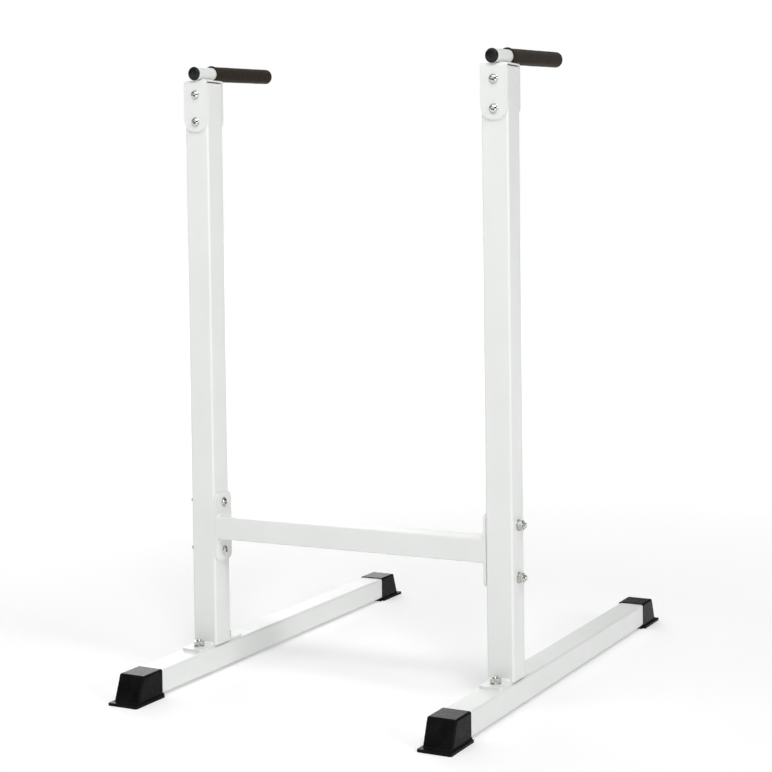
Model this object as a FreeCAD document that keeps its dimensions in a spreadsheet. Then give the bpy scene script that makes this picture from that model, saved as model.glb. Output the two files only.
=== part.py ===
import FreeCAD, Part
import math
import os
import re
import Sketcher
from FreeCAD import Vector

# A free-standing dip station in millimetres. Two uprights stand on two long floor tubes, a crossbar
# ties them together, and a foam-covered handle is welded to a saddle bolted over each upright.
# +X is to the right seen from the front, +Y runs from the front to the rear, +Z is up.
# The origin is on the floor, midway between the sides and midway along the floor tubes.

DIMENSIONS = {
    # The stance
    "upright_spacing": 602,  # between the two uprights' centre lines
    "upright_setback": 216,  # from the middle of the floor tubes forward to the uprights
    "stance_length": 1000,  # over the flanges of the foot caps
    # Square steel tube of the uprights; the floor tubes and crossbar are the same width, less high
    "tube_side": 50,
    "tube_wall": 2,
    "tube_corner": 4,
    "low_tube_height": 42,
    "floor_gap": 6,  # from the floor up to the underside of the floor tubes
    # Foot plate of each upright
    "foot_plate_width": 40,
    "foot_plate_length": 140,
    "plate_thickness": 5,
    "foot_plate_corner": 3,
    "foot_bolt_pitch": 90,
    "upright_top": 1095.5,
    # Crossbar and its end plates
    "crossbar_height": 272,  # floor to its centre line
    "end_plate_height": 126,
    "end_plate_corner": 12,
    "crossbar_bolt_pitch": 90,
    # Saddle over the upright, with the handle on top
    "saddle_thickness": 3,
    "saddle_headroom": 2.5,  # between the upright's open top and the saddle
    "saddle_drop": 94.5,
    "saddle_corner": 22,
    "saddle_bend": 5,  # outer radius of each bend
    "handle_bolt_height": 1024,  # floor to the lower bolt
    "handle_bolt_pitch": 50,
    "handle_diameter": 24,
    "handle_wall": 2,
    "handle_front": 31,  # from the upright's centre forward to the tube's front end
    "handle_rear": 230,  # from the upright's centre back to the tube's rear end
    "handle_rise": 2.6,  # degrees up towards the rear
    "handle_splay": 1.8,  # degrees outwards towards the rear
    "grip_diameter": 28.5,
    "grip_start": 27,
    "grip_end_wall": 3,
    "grip_rim": 2,
    "grip_mouth_edge": 0.5,
    "plug_diameter": 25.2,
    "plug_flange": 1.2,
    "plug_dome": 3,
    "plug_depth": 15,
    # Foot caps, pushed over the ends of the floor tubes
    "cap_wall": 2,
    "cap_side_wall": 1.5,
    "cap_flange_width": 61.5,
    "cap_flange_height": 5,
    "cap_flange_corner": 3.5,
    "cap_flange_edge": 1,
    "cap_mouth": 84,  # from the flange's outer end in to the cap's mouth
    "cap_top_inset": 30,  # from the flange's outer end in to the top edge
    "cap_foot_inset": 11,  # from the flange's outer end in to the foot of the sloping end face
    "cap_sweep": 3,  # radius of the hollow between flange and block
    "cap_edge": 3.5,
    "cap_tongue": 6.5,  # of the sole, under the tube past the mouth
    "cap_end_wall": 5,
    # M10 fasteners
    "bolt_diameter": 10,
    "bolt_hole": 11,
    "bolt_chamfer": 1,
    "button_head_diameter": 17.5,
    "button_head_height": 5.5,
    "socket_flats": 6,
    "socket_depth": 3.5,
    "button_bolt_length": 70,
    "coach_head_diameter": 24,
    "coach_head_height": 5,
    "coach_neck_length": 4,
    "coach_bolt_length": 60,
    "square_hole": 10.4,
    "washer_diameter": 20,
    "washer_bore": 10.5,
    "washer_thickness": 2,
    "nut_flats": 17,
    "nut_face": 16.2,  # diameter of the flat faces inside the chamfers
    "nut_height": 8,
    # Weld beads
    "bead_leg": 5,
    "bead_radius": 5.5,
    "handle_bead_inset": 3,  # from the handle's middle plane out to the inside of a bead
    "handle_bead_height": 5,
    "handle_bead_slant": 1,
    "handle_bead_radius": 6,
    "handle_bead_length": 40,
}

doc = FreeCAD.newDocument("dip_station")
sheet = doc.addObject("Spreadsheet::Sheet", "Dimensions")
for row, (alias, value) in enumerate(DIMENSIONS.items(), start=1):
    sheet.set(f"A{row}", alias)
    sheet.set(f"B{row}", str(value))
    sheet.setAlias(f"B{row}", alias)
doc.recompute()

parts = []

CLOSE = 0.01  # millimetres within which two places count as the same


def formula(text):
    """Spells out every alias in a formula as a cell of the sheet. All aliases have an underscore."""
    return re.sub(r"\b[a-z]+(?:_[a-z]+)+\b", lambda found: "Dimensions." + found.group(), text)


def size(text):
    """What a formula comes to now."""
    return float(sheet.evalExpression(formula(text)))


def new_body(label, x="0", y="0", z="0", yaw="0", roll="0"):
    """A body placed by formulas: turned by roll about X, then by yaw about Z, then moved."""
    body = doc.addObject("PartDesign::Body", label)
    body.Label = label
    place(body, x, y, z, yaw, roll)
    parts.append(body)
    return body


def place(item, x="0", y="0", z="0", yaw="0", roll="0"):
    item.setExpression("Placement", formula(f"placement(vector({x}; {y}; {z}); rotation({yaw}; 0; {roll}))"))


def plane(body, role):
    """One of the body's own origin planes: XY_Plane, XZ_Plane or YZ_Plane."""
    return next(item for item in body.Origin.OriginFeatures if item.Role == role)


def new_sketch(body, role, offset="0"):
    sketch = body.newObject("Sketcher::SketchObject", body.Label + "_sketch")
    sketch.AttachmentSupport = [(plane(body, role), "")]
    sketch.MapMode = "FlatFace"
    sketch.setExpression("AttachmentOffset.Base.z", formula(offset))
    return sketch


def constrain(sketch, kind, elements, text):
    """A dimension of the sketch bound to a formula. kind is DistanceX, DistanceY, Radius or Diameter."""
    index = sketch.addConstraint(Sketcher.Constraint(kind, *elements, size(text)))
    sketch.setExpression(f"Constraints[{index}]", formula(text))


def hold_point(sketch, point, x, y):
    """Holds a sketch point at formulas x and y from the sketch's origin."""
    for kind, axis, text in (("DistanceX", -2, x), ("DistanceY", -1, y)):
        if abs(size(text)) < CLOSE:
            sketch.addConstraint(Sketcher.Constraint("PointOnObject", *point, axis))
        elif size(text) > 0:
            constrain(sketch, kind, (-1, 1, *point), text)
        else:
            constrain(sketch, kind, (*point, -1, 1), f"-({text})")


def circle(sketch, diameter, x="0", y="0"):
    round_edge = Part.Circle(Vector(size(x), size(y), 0), Vector(0, 0, 1), size(diameter) / 2)
    index = sketch.addGeometry(round_edge, False)
    hold_point(sketch, (index, 3), x, y)
    constrain(sketch, "Diameter", (index,), diameter)


def arc_between(start, end, radius):
    """The arc from start to end, turning left for a positive radius, and whether it is stored reversed."""
    chord = end - start
    to_centre = Vector(-chord.y, chord.x, 0).normalize() * math.sqrt(radius**2 - (chord.Length / 2) ** 2)
    centre = start + chord * 0.5 + to_centre * math.copysign(1, radius)
    first, last = (start, end) if radius > 0 else (end, start)
    angles = [math.atan2(point.y - centre.y, point.x - centre.x) for point in (first, last)]
    whole = Part.Circle(centre, Vector(0, 0, 1), abs(radius))
    return Part.ArcOfCircle(whole, *angles), radius < 0


def outline(sketch, corners):
    """A closed outline through corners given as formulas (x, y) or (x, y, radius).
    A radius makes the edge that arrives at that corner an arc, turning left where it is positive."""
    places = [Vector(size(corner[0]), size(corner[1]), 0) for corner in corners]
    ends = []
    for number, corner in enumerate(corners):
        start, end = places[number - 1], places[number]
        if len(corner) == 2:
            index, swapped = sketch.addGeometry(Part.LineSegment(start, end), False), False
        else:
            arc, swapped = arc_between(start, end, size(corner[2]))
            index = sketch.addGeometry(arc, False)
        ends.append(((index, 2), (index, 1)) if swapped else ((index, 1), (index, 2)))
    for number, corner in enumerate(corners):
        following = ends[(number + 1) % len(corners)][0]
        sketch.addConstraint(Sketcher.Constraint("Coincident", *ends[number][1], *following))
        hold_point(sketch, ends[number][1], corner[0], corner[1])
    for number, corner in enumerate(corners):
        if len(corner) == 3:
            radius = corner[2] if size(corner[2]) > 0 else f"-({corner[2]})"
            constrain(sketch, "Radius", (ends[number][0][0],), radius)


def rounded_rectangle(sketch, width, depth, radius, x="0", y="0"):
    """A rectangle with rounded corners, centred at formulas x and y."""
    half_width, half_depth = f"({width}) / 2", f"({depth}) / 2"
    corners = []
    for across, along in ((1, -1), (1, 1), (-1, 1), (-1, -1)):
        side_x = f"{x} + {across} * {half_width}"
        side_y = f"{y} + {along} * {half_depth}"
        inner_x = f"{side_x} - {across} * ({radius})"
        inner_y = f"{side_y} - {along} * ({radius})"
        if across * along < 0:
            corners += [(inner_x, side_y), (side_x, inner_y, radius)]
        else:
            corners += [(side_x, inner_y), (inner_x, side_y, radius)]
    outline(sketch, corners)


def pad(body, sketch, length, side="One side", reverse=False):
    feature = body.newObject("PartDesign::Pad", body.Label + "_pad")
    feature.Profile = sketch
    feature.SideType = side
    feature.Reversed = reverse
    feature.setExpression("Length", formula(length))
    doc.recompute()
    return feature


def pocket(body, sketch, length=None, side="Symmetric", reverse=False):
    """Cuts the sketch through everything, or to a length, and makes sure that it cut something."""
    before = body.Tip.Shape.Volume
    feature = body.newObject("PartDesign::Pocket", body.Label + "_pocket")
    feature.Profile = sketch
    feature.SideType = side
    feature.Reversed = reverse
    if length:
        feature.setExpression("Length", formula(length))
    else:
        feature.Type = "ThroughAll"
    doc.recompute()
    if feature.Shape.Volume > before - 1:
        raise RuntimeError(f"a pocket of {body.Label} cuts nothing")
    return feature


def revolve(body, sketch, axis):
    """Turns the sketch once round its own H_Axis or V_Axis."""
    feature = body.newObject("PartDesign::Revolution", body.Label + "_revolution")
    feature.Profile = sketch
    feature.ReferenceAxis = (sketch, [axis])
    feature.Angle = 360
    doc.recompute()
    return feature


def fillet(body, radius, chosen):
    """Rounds the edges of the body's last feature that chosen(edge) picks."""
    base = body.Tip
    names = [f"Edge{n}" for n, edge in enumerate(base.Shape.Edges, start=1) if chosen(edge)]
    feature = body.newObject("PartDesign::Fillet", body.Label + "_fillet")
    feature.Base = (base, names)
    feature.setExpression("Radius", formula(radius))
    doc.recompute()
    return feature


def repeat(body, pitch):
    """A second copy of the whole body, a pitch further along its Y axis."""
    feature = body.newObject("PartDesign::LinearPattern", body.Label + "_pair")
    feature.TransformMode = "Whole shape"
    feature.Direction = (next(item for item in body.Origin.OriginFeatures if item.Role == "Y_Axis"), [""])
    feature.setExpression("Length", formula(pitch))
    feature.Occurrences = 2
    body.Tip = feature
    doc.recompute()
    return feature


def runs_along(edge, direction):
    """Whether an edge is straight and parallel to a direction."""
    if not isinstance(edge.Curve, Part.Line):
        return False
    return abs(abs(edge.Curve.Direction.dot(direction)) - 1) < 1e-6


def box_tube(body, role, width, height, length, side="Symmetric"):
    """A steel box tube with rounded corners, its section drawn on one origin plane."""
    section = new_sketch(body, role)
    rounded_rectangle(section, width, height, "tube_corner")
    wall = "2 * tube_wall"
    rounded_rectangle(section, f"{width} - {wall}", f"{height} - {wall}", "tube_corner - tube_wall")
    pad(body, section, length, side)


# Heights and places that several sub-parts share
SIDES = (("left", -1), ("right", 1))
ENDS = (("front", -1), ("rear", 1))
UPRIGHT_X = "{sign} * upright_spacing / 2"
UPRIGHT_Y = "-upright_setback"
LOW_TUBE_TOP = "(floor_gap + low_tube_height)"
UPRIGHT_FOOT = "(floor_gap + low_tube_height + plate_thickness)"
SADDLE_TOP = "(upright_top + saddle_headroom + saddle_thickness)"
HANDLE_AXIS = (
    f"({SADDLE_TOP} + handle_diameter / 2 / cos(handle_rise)"
    " + (tube_side / 2 + saddle_thickness) * tan(handle_rise))"
)
FLOOR_TUBE_LENGTH = "(stance_length - 2 * cap_top_inset - 2 * cap_end_wall)"
CROSSBAR_LENGTH = "(upright_spacing - tube_side - 2 * plate_thickness)"


def floor_tube(side, sign):
    """Long tube on the floor, with round holes on top and square ones below for coach bolts."""
    middle = "floor_gap + low_tube_height / 2"
    body = new_body(f"floor_tube_{side}", UPRIGHT_X.format(sign=sign), z=middle)
    box_tube(body, "XZ_Plane", "tube_side", "low_tube_height", FLOOR_TUBE_LENGTH)
    round_holes = new_sketch(body, "XY_Plane")
    square_holes = new_sketch(body, "XY_Plane")
    for way in ("-", "+"):
        along = f"-upright_setback {way} foot_bolt_pitch / 2"
        circle(round_holes, "bolt_hole", y=along)
        half = "square_hole / 2"
        low, high = f"{along} - {half}", f"{along} + {half}"
        outline(square_holes, [(f"-{half}", low), (half, low), (half, high), (f"-{half}", high)])
    pocket(body, round_holes, side="One side", reverse=True)
    pocket(body, square_holes, side="One side")


def foot_cap(end, way, side, sign):
    """Rubber cap over the end of a floor tube: a block with a sloping end on a broad rounded flange."""
    facing = "0" if way > 0 else "180"
    x = UPRIGHT_X.format(sign=sign)
    body = new_body(f"foot_cap_{end}_{side}", x, f"{way} * stance_length / 2", yaw=facing)
    mouth, top = "-cap_mouth", f"({LOW_TUBE_TOP} + cap_wall)"
    block = new_sketch(body, "YZ_Plane")
    outline(block, [(mouth, "0"), ("-cap_foot_inset", "0"), ("-cap_top_inset", top), (mouth, top)])
    pad(body, block, "tube_side + 2 * cap_side_wall", "Symmetric")
    fillet(body, "cap_edge", lambda edge: edge.BoundBox.ZMax > size(top) - CLOSE and not at_mouth(edge))
    flange = new_sketch(body, "XY_Plane")
    edge_x, corner_x = "cap_flange_width / 2", "(cap_flange_width / 2 - cap_flange_corner)"
    corner_y = "-cap_flange_corner"
    outline(
        flange,
        [
            (f"-{edge_x}", mouth),
            (edge_x, mouth),
            (edge_x, corner_y),
            (corner_x, "0", "cap_flange_corner"),
            (f"-{corner_x}", "0"),
            (f"-{edge_x}", corner_y, "cap_flange_corner"),
        ],
    )
    pad(body, flange, "cap_flange_height")
    fillet(body, "cap_flange_edge", lambda edge: on_flange_top(edge) and not beside_block(edge))
    fillet(body, "cap_sweep", lambda edge: on_flange_top(edge) and beside_block(edge))
    tongue = new_sketch(body, "XY_Plane")
    half, reach = "tube_side / 2", "-cap_mouth - cap_tongue"
    outline(tongue, [(f"-{half}", mouth), (f"-{half}", reach), (half, reach), (half, mouth)])
    pad(body, tongue, "floor_gap")
    socket = new_sketch(body, "XZ_Plane", "cap_mouth")
    middle = "floor_gap + low_tube_height / 2"
    rounded_rectangle(socket, "tube_side", "low_tube_height", "tube_corner", y=middle)
    pocket(body, socket, "cap_mouth - cap_top_inset - cap_end_wall", "One side")


def at_mouth(edge):
    return edge.BoundBox.YMax < size("-cap_mouth") + CLOSE


def on_flange_top(edge):
    box, height = edge.BoundBox, size("cap_flange_height")
    return abs(box.ZMin - height) < CLOSE and abs(box.ZMax - height) < CLOSE and not at_mouth(edge)


def beside_block(edge):
    """Whether an edge of the flange's top lies along the foot of the cap's block."""
    box = edge.BoundBox
    within_sides = max(abs(box.XMin), abs(box.XMax)) < size("tube_side / 2 + cap_side_wall") + CLOSE
    return within_sides and box.YMax < size("-cap_foot_inset") + CLOSE


def foot_plate(side, sign):
    """Plate under an upright, bolted down on the floor tube in front of and behind the upright."""
    body = new_body(f"foot_plate_{side}", UPRIGHT_X.format(sign=sign), UPRIGHT_Y, LOW_TUBE_TOP)
    blank = new_sketch(body, "XY_Plane")
    rounded_rectangle(blank, "foot_plate_width", "foot_plate_length", "foot_plate_corner")
    pad(body, blank, "plate_thickness")
    holes = new_sketch(body, "XY_Plane")
    for way in ("-", ""):
        circle(holes, "bolt_hole", y=f"{way}foot_bolt_pitch / 2")
    pocket(body, holes)


def upright_tube(side, sign):
    """Upright box tube, open at the top, with crossed holes for the crossbar and the handle."""
    body = new_body(f"upright_tube_{side}", UPRIGHT_X.format(sign=sign), UPRIGHT_Y, UPRIGHT_FOOT)
    box_tube(body, "XY_Plane", "tube_side", "tube_side", f"upright_top - {UPRIGHT_FOOT}", "One side")
    across = new_sketch(body, "YZ_Plane")
    for way in ("-", "+"):
        circle(across, "bolt_hole", y=f"crossbar_height {way} crossbar_bolt_pitch / 2 - {UPRIGHT_FOOT}")
    pocket(body, across)
    through = new_sketch(body, "XZ_Plane")
    for steps in ("0", "1"):
        circle(through, "bolt_hole", y=f"handle_bolt_height + {steps} * handle_bolt_pitch - {UPRIGHT_FOOT}")
    pocket(body, through)


def crossbar_tube():
    body = new_body("crossbar_tube", "0", UPRIGHT_Y, "crossbar_height")
    box_tube(body, "YZ_Plane", "tube_side", "low_tube_height", CROSSBAR_LENGTH)


def crossbar_end_plate(side, sign):
    """Plate welded on the crossbar's end and bolted to the upright, its origin on its inner face."""
    facing = "0" if sign > 0 else "180"
    inner_face = f"{sign} * {CROSSBAR_LENGTH} / 2"
    body = new_body(f"crossbar_end_plate_{side}", inner_face, UPRIGHT_Y, "crossbar_height", facing)
    blank = new_sketch(body, "YZ_Plane")
    rounded_rectangle(blank, "tube_side", "end_plate_height", "end_plate_corner")
    pad(body, blank, "plate_thickness")
    holes = new_sketch(body, "YZ_Plane")
    for way in ("-", ""):
        circle(holes, "bolt_hole", y=f"{way}crossbar_bolt_pitch / 2")
    pocket(body, holes)


def saddle(side, sign):
    """Steel strip bent over the top of an upright, its origin in the middle of its top face."""
    body = new_body(f"handle_saddle_{side}", UPRIGHT_X.format(sign=sign), UPRIGHT_Y, SADDLE_TOP)
    outer, inner = "(tube_side / 2 + saddle_thickness)", "tube_side / 2"
    inner_bend = "(saddle_bend - saddle_thickness)"
    strip = new_sketch(body, "YZ_Plane")
    outline(
        strip,
        [
            (f"-{outer}", "-saddle_drop"),
            (f"-{inner}", "-saddle_drop"),
            (f"-{inner}", f"-saddle_thickness - {inner_bend}"),
            (f"-{inner} + {inner_bend}", "-saddle_thickness", f"-{inner_bend}"),
            (f"{inner} - {inner_bend}", "-saddle_thickness"),
            (inner, f"-saddle_thickness - {inner_bend}", f"-{inner_bend}"),
            (inner, "-saddle_drop"),
            (outer, "-saddle_drop"),
            (outer, "-saddle_bend"),
            (f"{outer} - saddle_bend", "0", "saddle_bend"),
            (f"-{outer} + saddle_bend", "0"),
            (f"-{outer}", "-saddle_bend", "saddle_bend"),
        ],
    )
    pad(body, strip, "tube_side", "Symmetric")
    low_end, depth = size("-saddle_drop") + CLOSE, Vector(0, 1, 0)
    fillet(body, "saddle_corner", lambda edge: runs_along(edge, depth) and edge.BoundBox.ZMax < low_end)
    holes = new_sketch(body, "XZ_Plane")
    for steps in ("0", "1"):
        circle(holes, "bolt_hole", y=f"handle_bolt_height + {steps} * handle_bolt_pitch - {SADDLE_TOP}")
    pocket(body, holes)


def handle_body(label, sign):
    """A body in the handle's own directions: its Y axis is the handle's, from the front to the rear."""
    x = UPRIGHT_X.format(sign=sign)
    return new_body(label, x, UPRIGHT_Y, HANDLE_AXIS, f"{-sign} * handle_splay", "handle_rise")


def handle_tube(side, sign):
    body = handle_body(f"handle_tube_{side}", sign)
    section = new_sketch(body, "XZ_Plane", "handle_front")
    circle(section, "handle_diameter")
    circle(section, "handle_diameter - 2 * handle_wall")
    pad(body, section, "handle_front + handle_rear", reverse=True)


def foam_grip(side, sign):
    """Foam sleeve with a closed rear end over the free end of the handle."""
    body = handle_body(f"foam_grip_{side}", sign)
    bore, outside = "handle_diameter / 2", "grip_diameter / 2"
    end = "handle_rear + grip_end_wall"
    profile = new_sketch(body, "XY_Plane")
    outline(
        profile,
        [
            (bore, "grip_start"),
            (f"{outside} - grip_mouth_edge", "grip_start"),
            (outside, "grip_start + grip_mouth_edge", "grip_mouth_edge"),
            (outside, f"{end} - grip_rim"),
            (f"{outside} - grip_rim", end, "grip_rim"),
            ("0", end),
            ("0", "handle_rear"),
            (bore, "handle_rear"),
        ],
    )
    revolve(body, profile, "V_Axis")


def handle_plug(side, sign):
    """Plastic plug in the open front end of the handle, with a broad domed head."""
    body = handle_body(f"handle_plug_{side}", sign)
    stem, edge = "handle_diameter / 2 - handle_wall", "plug_diameter / 2"
    dome_radius = f"(({edge}) ^ 2 + plug_dome ^ 2) / (2 * plug_dome)"
    profile = new_sketch(body, "XY_Plane")
    outline(
        profile,
        [
            ("0", "plug_depth - handle_front"),
            ("0", "-handle_front - plug_flange - plug_dome"),
            (edge, "-handle_front - plug_flange", dome_radius),
            (edge, "-handle_front"),
            (stem, "-handle_front"),
            (stem, "plug_depth - handle_front"),
        ],
    )
    revolve(body, profile, "V_Axis")


def upright_weld(side, sign):
    """Two beads along the foot of an upright, at its front and rear faces."""
    body = new_body(f"upright_weld_{side}", UPRIGHT_X.format(sign=sign), UPRIGHT_Y, UPRIGHT_FOOT)
    face, foot = "tube_side / 2", "tube_side / 2 + bead_leg"
    section = new_sketch(body, "YZ_Plane")
    outline(section, [(f"-({face})", "0"), (f"-({face})", "bead_leg"), (f"-({foot})", "0", "bead_radius")])
    outline(section, [(face, "0"), (foot, "0"), (face, "bead_leg", "bead_radius")])
    pad(body, section, "foot_plate_width - bead_leg", "Symmetric")


def crossbar_weld(side, sign):
    """Two beads on an end plate, over and under the crossbar."""
    facing = "0" if sign > 0 else "180"
    inner_face = f"{sign} * {CROSSBAR_LENGTH} / 2"
    body = new_body(f"crossbar_weld_{side}", inner_face, UPRIGHT_Y, "crossbar_height", facing)
    face, foot = "low_tube_height / 2", "low_tube_height / 2 + bead_leg"
    section = new_sketch(body, "XZ_Plane")
    outline(section, [("0", face), ("0", foot), ("-bead_leg", face, "bead_radius")])
    outline(section, [("0", f"-({face})"), ("-bead_leg", f"-({face})"), ("0", f"-({foot})", "bead_radius")])
    pad(body, section, "tube_side - 2 * tube_corner", "Symmetric")


def handle_weld(side, sign):
    """Two beads in the corners between the handle tube and the saddle, cut to fit the tube."""
    label = f"handle_weld_{side}"
    x = UPRIGHT_X.format(sign=sign)
    blank = new_body(label + "_blank", x, UPRIGHT_Y, SADDLE_TOP)
    parts.remove(blank)
    near, far, top = "handle_bead_inset", "handle_diameter / 2", "handle_bead_height"
    shoulder, bulge = "handle_diameter / 2 - handle_bead_slant", "handle_bead_radius"
    section = new_sketch(blank, "XZ_Plane")
    outline(section, [(near, "0"), (far, "0"), (shoulder, top, bulge), (near, top)])
    left_foot, left_shoulder = (f"-({far})", "0", bulge), (f"-({shoulder})", top)
    outline(section, [(f"-{near}", top), left_shoulder, left_foot, (f"-{near}", "0")])
    pad(blank, section, "handle_bead_length", "Symmetric")
    rod = doc.addObject("Part::Cylinder", label + "_rod")
    rod.setExpression("Radius", formula("handle_diameter / 2"))
    rod.setExpression("Height", formula("handle_rear"))
    middle = "handle_rear / 2"
    yaw, roll = f"{-sign} * handle_splay", "handle_rise - 90"
    back_x = f"{x} - {sign} * {middle} * cos(handle_rise) * sin(handle_splay)"
    back_y = f"{UPRIGHT_Y} - {middle} * cos(handle_rise) * cos(handle_splay)"
    back_z = f"{HANDLE_AXIS} - {middle} * sin(handle_rise)"
    place(rod, back_x, back_y, back_z, yaw, roll)
    beads = doc.addObject("Part::Cut", label)
    beads.Label = label
    beads.Base, beads.Tool = blank, rod
    parts.append(beads)


def hexagon(sketch, flats):
    """A hexagon with two of its corners on the sketch's vertical axis."""
    half, corner = f"{flats} / 2", f"{flats} / sqrt(3)"
    low = f"{half} * tan(30)"
    right = [(half, f"-{low}"), (half, low), ("0", corner)]
    left = [(f"-{half}", low), (f"-{half}", f"-{low}"), ("0", f"-{corner}")]
    outline(sketch, right + left)


def domed_bolt_outline(head, length):
    """Half the outline of a bolt along Z, with a domed head whose flat side is at the origin."""
    shank, edge, height = "bolt_diameter / 2", f"{head}_diameter / 2", f"{head}_height"
    dome_radius = f"(({edge}) ^ 2 + {height} ^ 2) / (2 * {height})"
    return [
        ("0", f"-{height}"),
        (edge, "0", dome_radius),
        (shank, "0"),
        (shank, f"{length} - bolt_chamfer"),
        (f"{shank} - bolt_chamfer", length),
        ("0", length),
    ]


def button_bolts(label, pitch, where):
    """Two button-head bolts with hexagon sockets, heads under the face that their origin lies on."""
    body = new_body(label, **where)
    profile = new_sketch(body, "XZ_Plane")
    outline(profile, domed_bolt_outline("button_head", "button_bolt_length"))
    revolve(body, profile, "V_Axis")
    socket = new_sketch(body, "XY_Plane", "-button_head_height")
    hexagon(socket, "socket_flats")
    pocket(body, socket, "socket_depth", "One side", reverse=True)
    repeat(body, pitch)


def coach_bolts(label, pitch, where):
    """Two coach bolts with square necks, heads under the face that their origin lies on."""
    body = new_body(label, **where)
    profile = new_sketch(body, "XZ_Plane")
    outline(profile, domed_bolt_outline("coach_head", "coach_bolt_length"))
    revolve(body, profile, "V_Axis")
    neck = new_sketch(body, "XY_Plane")
    half = "bolt_diameter / 2"
    outline(neck, [(half, f"-{half}"), (half, half), (f"-{half}", half), (f"-{half}", f"-{half}")])
    pad(body, neck, "coach_neck_length")
    repeat(body, pitch)


def washers(label, height, pitch, where):
    """Two flat washers that start at a height along Z."""
    body = new_body(label, **where)
    ring = new_sketch(body, "XY_Plane", height)
    circle(ring, "washer_diameter")
    circle(ring, "washer_bore")
    pad(body, ring, "washer_thickness")
    repeat(body, pitch)


def nuts(label, start, pitch, where):
    """Two hexagon nuts that start at a height along Z, chamfered at both ends."""
    body = new_body(label, **where)
    bore, face, corner = "bolt_diameter / 2", "nut_face / 2", "nut_flats / sqrt(3)"
    slope = f"({corner} - {face}) * tan(30)"
    end = f"{start} + nut_height"
    profile = new_sketch(body, "XZ_Plane")
    outline(
        profile,
        [
            (bore, start),
            (face, start),
            (corner, f"{start} + {slope}"),
            (corner, f"{end} - {slope}"),
            (face, end),
            (bore, end),
        ],
    )
    revolve(body, profile, "V_Axis")
    waste = new_sketch(body, "XY_Plane")
    circle(waste, "2 * nut_flats")
    hexagon(waste, "nut_flats")
    pocket(body, waste)
    repeat(body, pitch)


def fasten(bolts, joint, side, clamped, pitch, where):
    """The bolts, washers and nuts of one joint, clamping a thickness that starts at their origin."""
    bolts(f"{joint}_bolts_{side}", pitch, where)
    washers(f"{joint}_washers_{side}", clamped, pitch, where)
    nuts(f"{joint}_nuts_{side}", f"{clamped} + washer_thickness", pitch, where)


def fasteners(side, sign):
    """All of one side's fasteners. The first of each pair is at the group's origin."""
    x = UPRIGHT_X.format(sign=sign)
    foot = {"x": x, "y": "-upright_setback - foot_bolt_pitch / 2", "z": "floor_gap"}
    fasten(coach_bolts, "foot", side, "low_tube_height + plate_thickness", "foot_bolt_pitch", foot)
    crossbar = {
        "x": f"{sign} * {CROSSBAR_LENGTH} / 2",
        "y": UPRIGHT_Y,
        "z": "crossbar_height - crossbar_bolt_pitch / 2",
        "yaw": f"{sign} * 90",
        "roll": "90",
    }
    fasten(button_bolts, "crossbar", side, "plate_thickness + tube_side", "crossbar_bolt_pitch", crossbar)
    handle = {
        "x": x,
        "y": "-upright_setback - tube_side / 2 - saddle_thickness",
        "z": "handle_bolt_height + handle_bolt_pitch",
        "roll": "-90",
    }
    fasten(button_bolts, "handle", side, "tube_side + 2 * saddle_thickness", "handle_bolt_pitch", handle)


crossbar_tube()
for side, sign in SIDES:
    floor_tube(side, sign)
    for end, way in ENDS:
        foot_cap(end, way, side, sign)
    foot_plate(side, sign)
    upright_tube(side, sign)
    upright_weld(side, sign)
    crossbar_end_plate(side, sign)
    crossbar_weld(side, sign)
    saddle(side, sign)
    handle_tube(side, sign)
    handle_weld(side, sign)
    foam_grip(side, sign)
    handle_plug(side, sign)
    fasteners(side, sign)

doc.recompute()
for item in doc.Objects:
    if {"Invalid", "Error"} & set(item.State):
        raise RuntimeError(f"{item.Label} failed: {item.State}")
for item in parts:
    if item.Shape.isNull() or not item.Shape.isValid():
        raise RuntimeError(f"{item.Label} has no valid shape")

os.makedirs("parts", exist_ok=True)
for item in parts:
    item.Shape.exportStep(f"parts/{item.Label}.step")
    print(f"{item.Label}: {len(item.Shape.Solids)} solid(s), {item.Shape.Volume / 1000:.1f} cm3")
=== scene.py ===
import math
import bpy
from mathutils import Matrix, Vector, noise


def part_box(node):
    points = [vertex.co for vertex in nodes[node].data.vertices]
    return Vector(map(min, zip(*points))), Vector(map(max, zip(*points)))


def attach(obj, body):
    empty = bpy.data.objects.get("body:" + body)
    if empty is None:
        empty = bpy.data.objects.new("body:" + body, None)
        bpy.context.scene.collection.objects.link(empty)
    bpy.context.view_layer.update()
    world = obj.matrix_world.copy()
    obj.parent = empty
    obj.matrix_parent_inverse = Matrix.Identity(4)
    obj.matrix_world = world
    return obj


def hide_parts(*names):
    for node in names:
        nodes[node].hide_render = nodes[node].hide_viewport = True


# The looks of the dip station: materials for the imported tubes, plates and caps, and finer pieces for the
# foam grips, plugs, weld beads and fasteners. Metres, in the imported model's own frame.

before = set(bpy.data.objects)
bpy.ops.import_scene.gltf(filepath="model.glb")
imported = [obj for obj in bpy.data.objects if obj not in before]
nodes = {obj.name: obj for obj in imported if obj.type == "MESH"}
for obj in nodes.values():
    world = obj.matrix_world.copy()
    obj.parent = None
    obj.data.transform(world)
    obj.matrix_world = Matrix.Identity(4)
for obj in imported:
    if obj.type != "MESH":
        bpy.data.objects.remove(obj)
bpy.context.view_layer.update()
scene = bpy.context.scene

MM = 0.001
SIDES = (("left", -1), ("right", 1))

# The handles and what is fitted on and in them, as in the design
HANDLE_RISE = math.radians(2.6)
HANDLE_SPLAY = math.radians(1.8)
HANDLE_RADIUS = 12 * MM
HANDLE_WALL = 2 * MM
PLUG_DOME = 3 * MM
PLUG_FLANGE = 1.2 * MM
GRIP_RIM = 2 * MM
GRIP_END_WALL = 3 * MM

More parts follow.
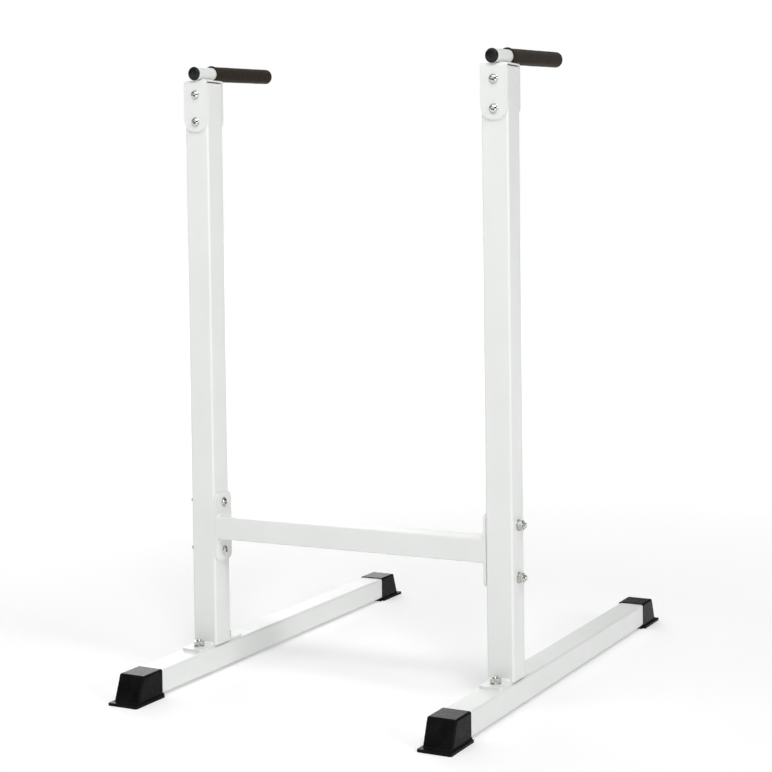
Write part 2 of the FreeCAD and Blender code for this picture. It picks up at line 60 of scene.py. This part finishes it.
# M10 hardware
BOLT_RADIUS = 5 * MM
THREAD_PITCH = 1.5 * MM
THREAD_DEPTH = 0.8 * MM
THREAD_LENGTH = 26 * MM
BUTTON_HEAD_RADIUS = 8.75 * MM
BUTTON_HEAD_HEIGHT = 5.5 * MM
HEAD_EDGE = 0.4 * MM  # radius of the rounded edge of a bolt's head
SOCKET_FLATS = 6 * MM
SOCKET_DEPTH = 3.5 * MM
COACH_HEAD_RADIUS = 12 * MM
COACH_HEAD_HEIGHT = 5 * MM
COACH_NECK_LENGTH = 4 * MM
NUT_FLATS = 17 * MM
NUT_FACE = 8.1 * MM  # radius of the round faces inside the chamfers
NUT_CHAMFER = math.radians(30)
NUT_HEIGHT = 8 * MM
NUT_TURN = 1.7  # how far a nut is turned, against its bolt
WASHER_RADIUS = 10 * MM
WASHER_THICKNESS = 2 * MM

# The camera, at the height and distance of a photographer's tripod
CAMERA_PLACE = (1.4733, -2.8611, 0.8415)
CAMERA_YAW = math.radians(27.82)
CAMERA_PITCH = math.radians(2.07)
CAMERA_ROLL = math.radians(-0.74)
CAMERA_LENS = 79.19
CAMERA_SENSOR = 36.0
CAMERA_SHIFT = -0.1373

# How bright the surroundings are, against a white backdrop of 1
ROOM_LIGHT = 0.03
CEILING_LIGHT = 0.63
WALL_LIGHT = 3.0
FLOOR_GLOW = 0.155
FAR_FLOOR_GLOW = 0.42


# ---------------------------------------------------------------- materials


class Recipe:
    """A material under construction: adds nodes and joins them up."""

    def __init__(self, name, **sockets):
        self.material = bpy.data.materials.new(name)
        self.material.use_nodes = True
        self.tree = self.material.node_tree
        self.shader = self.tree.nodes["Principled BSDF"]
        for socket, value in sockets.items():
            self.shader.inputs[socket.replace("_", " ")].default_value = value
        self.place = self.tree.nodes.new("ShaderNodeTexCoord").outputs["Object"]

    def node(self, kind, inputs=None, **settings):
        made = self.tree.nodes.new(kind)
        for setting, value in settings.items():
            setattr(made, setting, value)
        for socket, value in (inputs or {}).items():
            if isinstance(value, bpy.types.NodeSocket):
                self.tree.links.new(value, made.inputs[socket])
            else:
                made.inputs[socket].default_value = value
        return made

    def noise(self, scale, detail=3.0):
        """Cloudy noise, its features about 1/scale metres across."""
        inputs = {"Vector": self.place, "Scale": scale, "Detail": detail}
        return self.node("ShaderNodeTexNoise", inputs).outputs["Fac"]

    def cells(self, scale):
        """Distance from the middles of cells about 1/scale metres across."""
        inputs = {"Vector": self.place, "Scale": scale}
        return self.node("ShaderNodeTexVoronoi", inputs).outputs["Distance"]

    def between(self, factor, low, high, start=0.3, end=0.7):
        """A value that goes from low to high as the factor goes from start to end."""
        inputs = {"Value": factor, "From Min": start, "From Max": end, "To Min": low, "To Max": high}
        return self.node("ShaderNodeMapRange", inputs).outputs["Result"]

    def tint(self, factor, low, high, start=0.3, end=0.7):
        """A colour that goes from low to high as the factor goes from start to end."""
        ramp = self.node("ShaderNodeValToRGB", {"Fac": factor})
        ramp.color_ramp.elements[0].position = start
        ramp.color_ramp.elements[0].color = (*low, 1)
        ramp.color_ramp.elements[1].position = end
        ramp.color_ramp.elements[1].color = (*high, 1)
        return ramp.outputs["Color"]

    def join(self, output, socket):
        self.tree.links.new(output, self.shader.inputs[socket])

    def bumps(self, *layers):
        """Stacks bump layers, each (height output, depth in metres)."""
        normal = None
        for height, depth in layers:
            inputs = {"Height": height, "Strength": 1.0, "Distance": depth}
            if normal:
                inputs["Normal"] = normal
            normal = self.node("ShaderNodeBump", inputs).outputs["Normal"]
        self.join(normal, "Normal")


def powder_coat():
    """White powder coat: orange peel of about 2 mm, and a faint unevenness in tone and sheen."""
    recipe = Recipe("powder_coat", IOR=1.5, Coat_Weight=0.15, Coat_Roughness=0.3)
    recipe.join(recipe.tint(recipe.noise(9), (0.775, 0.79, 0.775), (0.8, 0.812, 0.8)), "Base Color")
    recipe.join(recipe.between(recipe.noise(60), 0.34, 0.46), "Roughness")
    recipe.bumps((recipe.noise(420, 2), 0.00009), (recipe.noise(2200, 1), 0.00002))
    return recipe.material


def zinc_plate():
    """Bright zinc: mottled passivation on a shiny, finely grained skin."""
    recipe = Recipe("zinc_plate", Metallic=1.0)
    cloud = recipe.noise(260, 4)
    recipe.join(recipe.tint(cloud, (0.34, 0.35, 0.33), (0.76, 0.76, 0.73)), "Base Color")
    recipe.join(recipe.between(recipe.noise(900, 3), 0.07, 0.17), "Roughness")
    recipe.bumps((recipe.noise(1500, 3), 0.00002))
    return recipe.material


def cap_rubber():
    """Moulded rubber: fine grain with a satin sheen, faintly wavy and cloudy."""
    recipe = Recipe("cap_rubber", IOR=1.12)
    shade = recipe.tint(recipe.noise(45, 5), (0.005, 0.005, 0.0052), (0.0105, 0.0105, 0.0108))
    recipe.join(shade, "Base Color")
    recipe.join(recipe.between(recipe.noise(120, 4), 0.2, 0.3), "Roughness")
    recipe.bumps((recipe.noise(1600, 2), 0.00003), (recipe.noise(90, 3), 0.00025))
    return recipe.material


def grip_foam():
    """Closed-cell foam: matt skin with small cells showing through, paler where it turns away."""
    recipe = Recipe("grip_foam", IOR=1.2, Sheen_Weight=0.16, Sheen_Roughness=0.3)
    shade = recipe.tint(recipe.noise(300, 5), (0.017, 0.012, 0.0075), (0.03, 0.022, 0.014))
    recipe.join(shade, "Base Color")
    recipe.join(recipe.between(recipe.noise(200, 3), 0.74, 0.92), "Roughness")
    recipe.bumps((recipe.cells(1300), 0.00018), (recipe.noise(500, 4), 0.0002))
    return recipe.material


def plug_plastic():
    """Moulded plastic with a semi-gloss skin."""
    recipe = Recipe("plug_plastic", IOR=1.3)
    shade = recipe.tint(recipe.noise(150, 4), (0.008, 0.008, 0.009), (0.015, 0.015, 0.016))
    recipe.join(shade, "Base Color")
    recipe.join(recipe.between(recipe.noise(350, 4), 0.2, 0.32), "Roughness")
    recipe.bumps((recipe.noise(1200, 3), 0.00002))
    return recipe.material


MAKERS = (powder_coat, zinc_plate, cap_rubber, grip_foam, plug_plastic)
MATERIALS = {make.__name__: make() for make in MAKERS}


def slot_of(node):
    """The material slot that a CAD node's finish comes from."""
    for part, name in (("cap", "cap_rubber"), ("grip", "grip_foam"), ("plug", "plug_plastic")):
        if part in node:
            return name
    if any(part in node for part in ("bolts", "washers", "nuts")):
        return "zinc_plate"
    return "powder_coat"


for node, cad_object in nodes.items():
    cad_object.data.materials.clear()
    cad_object.data.materials.append(MATERIALS[slot_of(node)])


# ---------------------------------------------------------------- mesh tools


def piece(name, vertices, faces, replaced, crease=35):
    """A new piece of the object: rides on the frame and stands for the named CAD nodes."""
    mesh = bpy.data.meshes.new(name)
    mesh.from_pydata(vertices, [], faces)
    mesh.validate()
    mesh.shade_smooth()
    mesh.set_sharp_from_angle(angle=math.radians(crease))
    made = bpy.data.objects.new(name, mesh)
    scene.collection.objects.link(made)
    slot = slot_of(name)
    mesh.materials.append(MATERIALS[slot])
    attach(made, "root")
    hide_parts(replaced)
    return made


class Skin:
    """Collects the vertices and faces of one piece."""

    def __init__(self):
        self.vertices, self.faces = [], []

    def wrap(self, rings, loop=False):
        """Faces between rings of equal count. The ends close on their middles, or form a loop."""
        start, count = len(self.vertices), len(rings[0])
        for ring in rings:
            self.vertices.extend(ring)
        firsts = [start + number * count for number in range(len(rings))]
        for a, b in zip(firsts, firsts[1:] + firsts[:1] if loop else firsts[1:]):
            for step in range(count):
                after = (step + 1) % count
                self.faces.append((a + step, a + after, b + after, b + step))
        if not loop:
            for first, ring, turn in ((firsts[0], rings[0], -1), (firsts[-1], rings[-1], 1)):
                self.vertices.append(sum(ring, Vector()) / count)
                middle = len(self.vertices) - 1
                for step in range(count):
                    edge = (first + step, first + (step + 1) % count)[::turn]
                    self.faces.append((*edge, middle))


def axes_of(direction):
    """Two directions square to this one and to each other, the first as level as can be."""
    level = direction.cross(Vector((0, 0, 1)))
    if level.length < 0.1:
        level = Vector((1, 0, 0))
    level.normalize()
    return level, direction.cross(level)


def turned(skin, origin, direction, profile, count, turn=0.0, loop=False):
    """Adds a turned form: profile is a list of functions of the angle, or pairs, giving (along, radius)."""
    across, up = axes_of(direction)
    rings = []
    for point in profile:
        ring = []
        for step in range(count):
            angle = math.tau * step / count
            along, radius = point(angle) if callable(point) else point
            out = across * math.cos(angle + turn) + up * math.sin(angle + turn)
            ring.append(origin + direction * along + out * radius)
        rings.append(ring)
    skin.wrap(rings, loop)


def arc(middle_along, middle_radius, size, start, end, steps):
    """Profile points on an arc, its angles in degrees from the outward direction towards the along one."""
    angles = [math.radians(start + (end - start) * step / steps) for step in range(steps + 1)]
    return [(middle_along + size * math.sin(a), middle_radius + size * math.cos(a)) for a in angles]


def span_along(node, origin, direction):
    """Where a CAD node starts and ends along a line, and how far it reaches from it."""
    low, high, reach = math.inf, -math.inf, 0.0
    for vertex in nodes[node].data.vertices:
        offset = vertex.co - origin
        along = offset.dot(direction)
        low, high = min(low, along), max(high, along)
        reach = max(reach, (offset - direction * along).length)
    return low, high, reach


def middle_of(node):
    low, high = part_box(node)
    return (low + high) / 2


# ---------------------------------------------------------------- handles


def handle_line(side, sign):
    """A point on a handle's axis, and the axis from the front to the rear."""
    direction = Vector((sign * math.sin(HANDLE_SPLAY), math.cos(HANDLE_SPLAY), 0)) * math.cos(HANDLE_RISE)
    direction.z = math.sin(HANDLE_RISE)
    return middle_of(f"handle_tube_{side}"), direction


def foam_grip(side, sign):
    """Foam sleeve: slightly uneven along its length, rounded at its closed end, rolled back at its mouth."""
    node = f"foam_grip_{side}"
    origin, direction = handle_line(side, sign)
    start, end, radius = span_along(node, origin, direction)
    roll, bore = 1.7 * MM, HANDLE_RADIUS + 0.15 * MM
    unevenness, wave_length, fade = 0.22 * MM, 22 * MM, 5 * MM
    skin_radius = radius - unevenness
    body_steps = 110
    body_start = start + 2.2 * roll
    stretch = end - GRIP_RIM - body_start
    profile = [(end - GRIP_END_WALL, 0.3 * bore), (end - GRIP_END_WALL, bore)]
    profile += arc(start + roll, bore + roll, roll, -180, 65, 18)
    profile += [(body_start + stretch * step / body_steps, skin_radius) for step in range(body_steps)]
    profile += arc(end - GRIP_RIM, skin_radius - GRIP_RIM, GRIP_RIM, 0, 85, 8)
    profile += [(end, (skin_radius - GRIP_RIM) * share) for share in (0.85, 0.6, 0.3)]

    def soft(along, reach):
        """A point of the profile, made uneven on the outside and away from the ends."""

        def point(angle):
            if reach <= bore:
                return along, reach
            place = Vector((math.cos(angle) * 1.5, math.sin(angle) * 1.5, along / wave_length + 7 * sign))
            wave = noise.noise(place) + 0.35 * noise.noise(place * 5.0)
            from_ends = min(along - body_start, end - along) / fade
            return along, reach + unevenness * max(0.0, min(1.0, from_ends)) * max(-1.0, min(1.0, wave))

        return point

    skin = Skin()
    turned(skin, origin, direction, [soft(*p) for p in profile], count=72)
    grip = piece(f"foam_grip_sleeve_{side}", skin.vertices, skin.faces, node, crease=60)


def handle_plug(side, sign):
    """Plug with a domed head, a small moulding mark in its middle and a stem with a bevelled end."""
    node = f"handle_plug_{side}"
    origin, direction = handle_line(side, sign)
    start, end, radius = span_along(node, origin, direction)
    edge, mark = 0.5 * MM, 2.1 * MM
    flange_back = start + PLUG_DOME + PLUG_FLANGE
    dome_radius = (radius**2 + PLUG_DOME**2) / (2 * PLUG_DOME)
    steps = 14
    # The mark is a shallow dish: its floor, its wall's foot and its brim
    profile = [(start + 0.5 * MM, 0.8 * MM), (start + 0.45 * MM, mark - 0.5 * MM), (start + 0.2 * MM, mark)]
    for step in range(1, steps + 1):
        out = mark + (radius - edge - mark) * step / steps
        profile.append((start + dome_radius - math.sqrt(dome_radius**2 - out**2), out))
    profile += arc(flange_back - edge, radius - edge, edge, -30, 90, 6)
    stem, bevel = HANDLE_RADIUS - HANDLE_WALL, 1 * MM
    profile += [(flange_back, stem), (end - bevel, stem), (end, stem - bevel)]
    skin = Skin()
    turned(skin, origin, direction, profile, count=64)
    piece(f"domed_plug_{side}", skin.vertices, skin.faces, node)


# ---------------------------------------------------------------- weld beads


def bead(skin, start, end, first_leg, second_leg, seed):
    """A fillet bead from start to end in a corner: its legs run along the two faces, its skin is rippled."""
    way = end - start
    length = way.length
    ripple, ripple_lag, tail, mesh_step = 2.1 * MM, 1.1 * MM, 2.4 * MM, 0.35 * MM
    bulge = 0.62
    steps = round(length / mesh_step)
    arc_steps = 12
    rings = []
    for step in range(steps + 1):
        share = step / steps
        along = share * length
        near_end = max(0.0, min(1.0, min(along, length - along) / tail))
        taper = math.sqrt(near_end * (2 - near_end))
        ring = []
        for corner in range(arc_steps + 1):
            turn = corner / arc_steps
            lag = ripple_lag * math.sin(math.pi * turn)
            phase = ((along + lag) / ripple + 0.25 * noise.noise(Vector((along * 300, seed, 0)))) % 1.0
            waver = 0.05 * noise.noise(Vector((along * 220, seed, 9)))
            scale = taper * (0.9 + 0.1 * math.sqrt(phase) + waver)
            straight = first_leg * (1 - turn) + second_leg * turn
            outward = (first_leg + second_leg) * (bulge * turn * (1 - turn))
            ring.append(start + way * share + (straight + outward) * scale)
        root = -(first_leg + second_leg) * 0.04
        ring.append(start + way * share + root)
        rings.append(ring)
    skin.wrap(rings)


def upright_weld(side):
    """Beads at the foot of an upright, in front and behind."""
    node = f"upright_weld_{side}"
    low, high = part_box(node)
    tube_low, tube_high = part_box(f"upright_tube_{side}")
    leg = high.z - low.z
    skin = Skin()
    for face, out in ((tube_low.y, -1), (tube_high.y, 1)):
        ends = [Vector((x, face, low.z)) for x in (low.x, high.x)][::-out]
        bead(skin, *ends, Vector((0, out * leg, 0)), Vector((0, 0, leg)), seed=out)
    piece(f"upright_weld_beads_{side}", skin.vertices, skin.faces, node, crease=50)


def crossbar_weld(side, sign):
    """Beads on a crossbar's end plate, over and under the tube."""
    node = f"crossbar_weld_{side}"
    low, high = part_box(node)
    tube_low, tube_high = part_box("crossbar_tube")
    leg = high.x - low.x
    plate = high.x if sign > 0 else low.x
    skin = Skin()
    for face, up in ((tube_low.z, -1), (tube_high.z, 1)):
        ends = [Vector((plate, y, face)) for y in (low.y, high.y)][:: up * sign]
        bead(skin, *ends, Vector((0, 0, up * leg)), Vector((-sign * leg, 0, 0)), seed=up)
    piece(f"crossbar_weld_beads_{side}", skin.vertices, skin.faces, node, crease=50)


def handle_weld(side, sign):
    """Beads along a handle tube, in the two corners between it and the saddle."""
    node = f"handle_weld_{side}"
    low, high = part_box(node)
    origin, direction = handle_line(side, sign)
    leg, inset = 4.2 * MM, 5.6 * MM
    skin = Skin()
    for out in (-1, 1):
        ends = []
        for y in (low.y, high.y):
            along = (y - origin.y) / direction.y
            on_axis = origin + direction * along
            ends.append(Vector((on_axis.x + out * inset, y, low.z)))
        foot, side_of_tube = Vector((out * leg, 0, 0)), Vector((out * leg * 0.75, 0, leg * 0.9))
        bead(skin, *ends[::out], foot, side_of_tube, seed=out)
    piece(f"handle_weld_beads_{side}", skin.vertices, skin.faces, node, crease=50)


# ---------------------------------------------------------------- fasteners


def hexagon(angle, flats):
    """Distance from a hexagon's middle to its side, its corners barely cut off."""
    sixth, corner = math.pi / 3, 0.985 * flats / math.sqrt(3)
    return min(flats / 2 / math.cos(angle % sixth - sixth / 2), corner)


def six_sided(along, flats):
    return lambda angle: (along, hexagon(angle, flats))


def chamfered(face, inward):
    """A nut's edge where the chamfer cuts it: further from the face at the corners."""

    def point(angle):
        side = hexagon(angle, NUT_FLATS)
        return face + inward * max(0.0, side - NUT_FACE) * math.tan(NUT_CHAMFER), side

    return point


def square_neck(along):
    quarter = math.pi / 2
    return lambda angle: (along, BOLT_RADIUS / math.cos((angle + quarter / 2) % quarter - quarter / 2))


def dome(radius, height, inner, edge, steps):
    """Profile of a domed head with its flat side at 0, from an inner radius out to a rounded edge."""
    sphere = (radius**2 + height**2) / (2 * height)
    reaches = [inner + (radius - edge - inner) * step / steps for step in range(steps + 1)]
    points = [(-height + sphere - math.sqrt(sphere**2 - out**2), out) for out in reaches]
    return points + arc(-edge, radius - edge, edge, -20, 90, 5)


def shank(length):
    """Plain shank, then a helical thread with a chamfered tip."""
    steps_per_turn = 8
    rows = round(THREAD_LENGTH / THREAD_PITCH * steps_per_turn)
    tip = 1.2 * MM

    def threaded(along):
        def point(angle):
            phase = (along / THREAD_PITCH - angle / math.tau) % 1.0
            flank = min(1.0, 1.7 * min(phase, 1 - phase))
            run_out = min(1.0, (along - length + THREAD_LENGTH) / (2 * THREAD_PITCH))
            radius = BOLT_RADIUS - THREAD_DEPTH * flank * run_out
            return along, min(radius, BOLT_RADIUS - tip + (length - along))

        return point

    start = length - THREAD_LENGTH
    places = [start + THREAD_LENGTH * row / rows for row in range(1, rows + 1)]
    return [(start, BOLT_RADIUS), *map(threaded, places)]


def button_bolt(skin, origin, direction, length, turn):
    """A button-head bolt, origin under its head, with a hexagon socket."""
    socket_floor, socket_edge = SOCKET_DEPTH - BUTTON_HEAD_HEIGHT, 0.25 * MM
    mouth = SOCKET_FLATS / math.sqrt(3) + socket_edge
    drill_depth, drill_tip = 0.9 * MM, 0.4 * MM
    neck_flare, neck_length = 0.6 * MM, 0.4 * MM
    skin_points = dome(BUTTON_HEAD_RADIUS, BUTTON_HEAD_HEIGHT, mouth, HEAD_EDGE, 10)
    lip = skin_points[0][0] + socket_edge
    head = [(socket_floor + drill_depth, drill_tip), (socket_floor, 0.45 * SOCKET_FLATS)]
    head += [six_sided(socket_floor, SOCKET_FLATS), six_sided(lip, SOCKET_FLATS), *skin_points]
    head += [(0, BOLT_RADIUS + neck_flare), (neck_length, BOLT_RADIUS)]
    turned(skin, origin, direction, head + shank(length), count=48, turn=turn)


def coach_bolt(skin, origin, direction, length, turn):
    """A coach bolt, origin under its domed head, with a square neck."""
    middle, neck_slope = 1 * MM, 0.8 * MM
    head = dome(COACH_HEAD_RADIUS, COACH_HEAD_HEIGHT, middle, HEAD_EDGE, 10)
    head += [square_neck(0), square_neck(COACH_NECK_LENGTH), (COACH_NECK_LENGTH + neck_slope, BOLT_RADIUS)]
    turned(skin, origin, direction, head + shank(length), count=48, turn=turn)


def hexagon_nut(skin, origin, direction, turn):
    """A hexagon nut, its corners chamfered and its bore countersunk at both ends."""
    play, sink, face_ring = 0.05 * MM, 0.6 * MM, 0.3 * MM
    bore, mouth, face = BOLT_RADIUS + play, BOLT_RADIUS + sink, NUT_FACE - face_ring
    profile = [(0, face), chamfered(0, 1), chamfered(NUT_HEIGHT, -1), (NUT_HEIGHT, face)]
    profile += [(NUT_HEIGHT, mouth), (NUT_HEIGHT - sink, bore), (sink, bore), (0, mouth)]
    turned(skin, origin, direction, profile, count=48, turn=turn, loop=True)


def washer(skin, origin, direction, turn):
    """A stamped washer: its rim rolled over on the outer side, and slightly bevelled on the other."""
    bore, thickness, reach = BOLT_RADIUS + 0.3 * MM, WASHER_THICKNESS, WASHER_RADIUS
    roll, rim_bevel, bore_bevel = 0.5 * MM, 0.15 * MM, 0.3 * MM
    profile = [(0, reach - rim_bevel), (rim_bevel, reach)]
    profile += arc(thickness - roll, reach - roll, roll, 0, 90, 4)
    profile += [(thickness, bore + bore_bevel), (thickness - bore_bevel, bore), (0, bore)]
    turned(skin, origin, direction, profile, count=64, turn=turn, loop=True)


def pair_of(node, apart):
    """The middles of the two alike solids of a CAD node, as distances in the direction that parts them."""
    offsets = [vertex.co.dot(apart) for vertex in nodes[node].data.vertices]
    low, high = min(offsets), max(offsets)
    gap = (low + high) / 2
    lower_end, upper_start = max(o for o in offsets if o < gap), min(o for o in offsets if o > gap)
    return (low + lower_end) / 2, (upper_start + high) / 2


def fasteners(joint, side, under_head, bolt, direction, apart, turns):
    """Bolts, washers and nuts of one bolted joint, two of each. The bolts point in a direction, and their
    heads bear on the CAD node named under_head."""
    node = f"{joint}_bolts_{side}"
    middle = middle_of(node)
    middle -= direction * middle.dot(direction) + apart * middle.dot(apart)
    seat = span_along(under_head, Vector(), direction)[0]
    tip = span_along(node, Vector(), direction)[1]
    nut_seat = span_along(f"{joint}_nuts_{side}", Vector(), direction)[0]
    bolts, washers, nuts = Skin(), Skin(), Skin()
    for offset, turn in zip(pair_of(node, apart), turns):
        base = middle + apart * offset
        bolt(bolts, base + direction * seat, direction, tip - seat, turn)
        washer(washers, base + direction * (nut_seat - WASHER_THICKNESS), direction, turn)
        hexagon_nut(nuts, base + direction * nut_seat, direction, turn * NUT_TURN)
    piece(f"{joint}_threaded_bolts_{side}", bolts.vertices, bolts.faces, node)
    piece(f"{joint}_flat_washers_{side}", washers.vertices, washers.faces, f"{joint}_washers_{side}")
    piece(f"{joint}_hexagon_nuts_{side}", nuts.vertices, nuts.faces, f"{joint}_nuts_{side}")


RIGHTWARD, BACKWARD, UPWARD = Vector((1, 0, 0)), Vector((0, 1, 0)), Vector((0, 0, 1))

for side, sign in SIDES:
    foam_grip(side, sign)
    handle_plug(side, sign)
    upright_weld(side)
    crossbar_weld(side, sign)
    handle_weld(side, sign)
    plate = f"crossbar_end_plate_{side}"
    fasteners("foot", side, f"floor_tube_{side}", coach_bolt, UPWARD, BACKWARD, (0.3, 1.0))
    fasteners("crossbar", side, plate, button_bolt, RIGHTWARD * sign, UPWARD, (0.5, 1.2))
    fasteners("handle", side, f"handle_saddle_{side}", button_bolt, BACKWARD, UPWARD, (0.2, 0.8))


# ---------------------------------------------------------------- studio


def floor():
    """Pale floor under the object, wide enough to meet the horizon. It glows more away from the object,
    so that it fades into the backdrop."""
    reach, glow_start, glow_end = 60.0, 0.8, 3.5
    corners = [(-reach, -reach, 0), (reach, -reach, 0), (reach, reach, 0), (-reach, reach, 0)]
    mesh = bpy.data.meshes.new("studio_floor")
    mesh.from_pydata(corners, [], [(0, 1, 2, 3)])
    recipe = Recipe("studio_floor", Roughness=0.8, Specular_IOR_Level=0.1)
    recipe.shader.inputs["Emission Color"].default_value = (1, 1, 1, 1)
    away = recipe.node("ShaderNodeVectorMath", {"Vector": recipe.place}, operation="LENGTH")
    glow = recipe.between(away.outputs["Value"], FLOOR_GLOW, FAR_FLOOR_GLOW, glow_start, glow_end)
    recipe.join(glow, "Emission Strength")
    recipe.join(recipe.tint(recipe.noise(0.7), (0.9, 0.9, 0.9), (0.92, 0.92, 0.92)), "Base Color")
    mesh.materials.append(recipe.material)
    made = bpy.data.objects.new("studio_floor", mesh)
    scene.collection.objects.link(made)


def surroundings():
    """A white backdrop. The object is lit by a bright ceiling and a bright wall, behind it to the left.
    The rest of the room is dim, so that black rubber and bright zinc keep their contrast."""
    world = bpy.data.worlds.new("studio")
    world.use_nodes = True
    tree = world.node_tree
    room, white = tree.nodes["Background"], tree.nodes.new("ShaderNodeBackground")
    room.inputs["Color"].default_value = (1, 1, 1, 1)
    white.inputs["Color"].default_value = (1, 1, 1, 1)
    direction = tree.nodes.new("ShaderNodeTexCoord").outputs["Generated"]

    def lit(towards, start, end, light):
        """Light that grows where the direction nears another, from one cosine to the next."""
        nearness = tree.nodes.new("ShaderNodeVectorMath")
        nearness.operation = "DOT_PRODUCT"
        nearness.inputs[1].default_value = towards
        level = tree.nodes.new("ShaderNodeMapRange")
        level.interpolation_type = "SMOOTHSTEP"
        level.inputs["From Min"].default_value = start
        level.inputs["From Max"].default_value = end
        level.inputs["To Max"].default_value = light
        tree.links.new(direction, nearness.inputs[0])
        tree.links.new(nearness.outputs["Value"], level.inputs["Value"])
        return level

    wall = lit((-0.73, 0.65, 0.21), 0.86, 0.97, WALL_LIGHT)
    wall.inputs["To Min"].default_value = ROOM_LIGHT
    ceiling = lit((0, 0, 1), 0.55, 0.8, CEILING_LIGHT)
    both = tree.nodes.new("ShaderNodeMath")
    seen = tree.nodes.new("ShaderNodeLightPath")
    choice = tree.nodes.new("ShaderNodeMixShader")
    tree.links.new(wall.outputs["Result"], both.inputs[0])
    tree.links.new(ceiling.outputs["Result"], both.inputs[1])
    tree.links.new(both.outputs["Value"], room.inputs["Strength"])
    tree.links.new(seen.outputs["Is Camera Ray"], choice.inputs["Fac"])
    tree.links.new(room.outputs["Background"], choice.inputs[1])
    tree.links.new(white.outputs["Background"], choice.inputs[2])
    tree.links.new(choice.outputs["Shader"], tree.nodes["World Output"].inputs["Surface"])
    scene.world = world


def lamp(kind, name, place, power, aim=(0, 0, 0.57), **settings):
    """A lamp that is never seen itself, aimed at a point."""
    light = bpy.data.lights.new(name, kind)
    light.energy = power
    if kind == "AREA":
        light.shape = "RECTANGLE"
    for setting, value in settings.items():
        setattr(light, setting, value)
    made = bpy.data.objects.new(name, light)
    scene.collection.objects.link(made)
    made.location = place
    made.rotation_euler = (Vector(aim) - made.location).to_track_quat("-Z", "Y").to_euler()
    made.visible_camera = False


def camera():
    data = bpy.data.cameras.new("camera")
    data.sensor_width = CAMERA_SENSOR
    data.lens = CAMERA_LENS
    data.shift_y = CAMERA_SHIFT
    made = bpy.data.objects.new("camera", data)
    scene.collection.objects.link(made)
    turn = Matrix.Rotation(CAMERA_YAW, 4, "Z") @ Matrix.Rotation(math.pi / 2 - CAMERA_PITCH, 4, "X")
    made.matrix_world = Matrix.Translation(CAMERA_PLACE) @ turn @ Matrix.Rotation(CAMERA_ROLL, 4, "Z")
    scene.camera = made


floor()
surroundings()
lamp("SUN", "key", (2.2, -3.2, 5.0), 0.83, angle=math.radians(16))
lamp("SUN", "front_fill", (0.3, -4.0, 2.0), 0.24, angle=math.radians(20))
lamp("SUN", "right_fill", (4.0, -0.8, 2.0), 0.71, angle=math.radians(16))
lamp("AREA", "low_softbox", (1.2, -1.9, 0.5), 3, aim=(0.1, -0.3, 0.05), size=1.4, size_y=0.6)
lamp("AREA", "overhead_softbox", (0.1, -1.0, 2.2), 8.5, aim=(0, -0.45, 0), size=1.6, size_y=0.8)
camera()
scene.view_settings.view_transform = "Standard"
